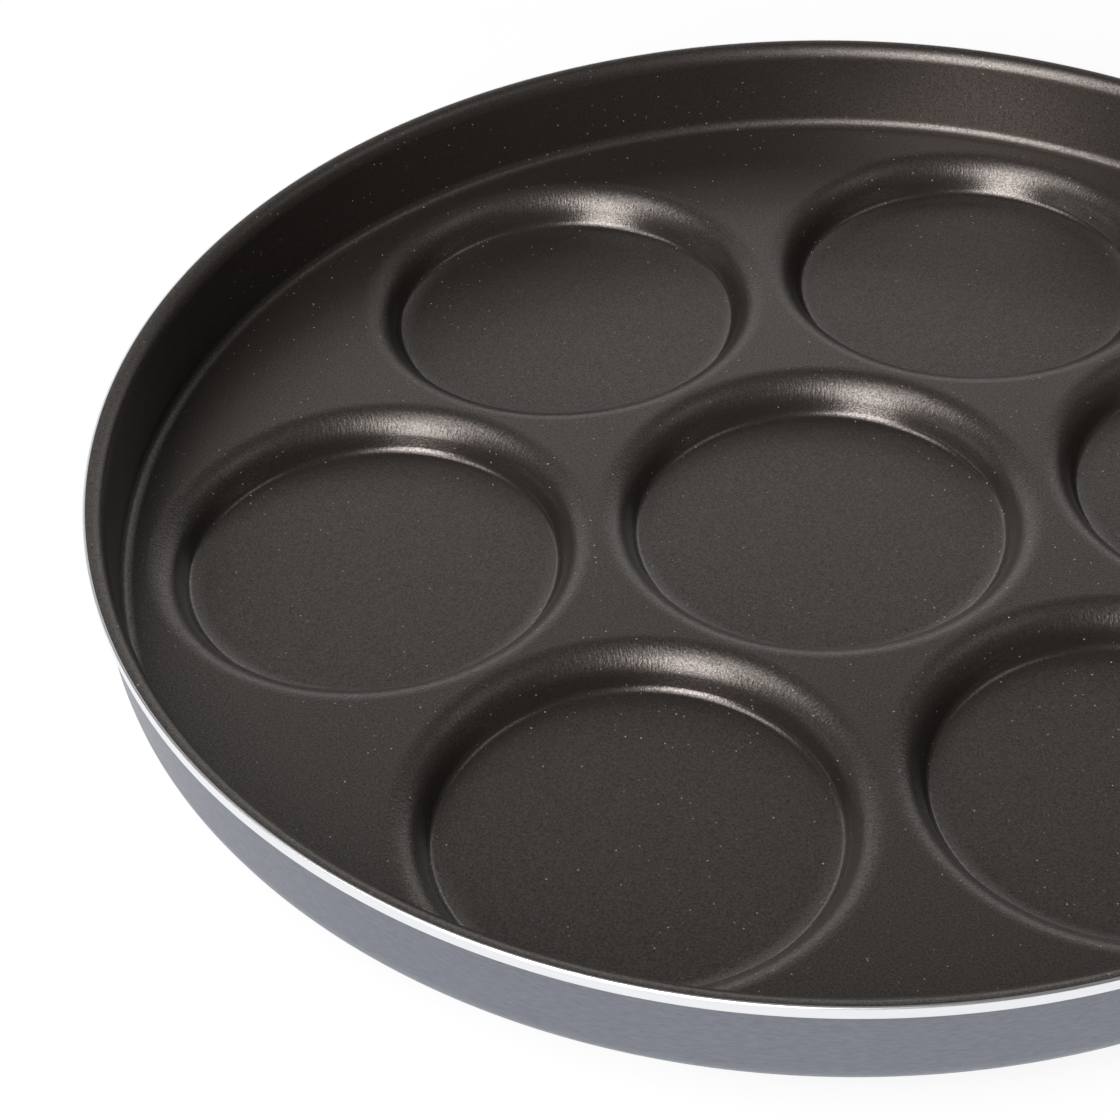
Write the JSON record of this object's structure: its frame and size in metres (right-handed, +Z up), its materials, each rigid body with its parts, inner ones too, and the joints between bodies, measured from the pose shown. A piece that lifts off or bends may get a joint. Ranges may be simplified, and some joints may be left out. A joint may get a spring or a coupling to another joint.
{
  "type": "pancake pan",
  "caption": "Round pressed metal pan with a low wall, a turned-out lip and shallow round cups set in its deck, for baking small pancakes side by side.",
  "frame": {"origin": "on the plane that the pan stands on, under the middle of the centre cup", "axes": "+Z up out of the open side, +X through the middle of one of the outer cups"},
  "size_m": [0.26, 0.26, 0.028],
  "materials": {
    "pan": "dark non-stick coating inside and over the lip, bare turned cut edge, brushed bare metal outside and below"
  },
  "bodies": {
    "root": {"pan": "pan"}
  },
  "joints": []
}
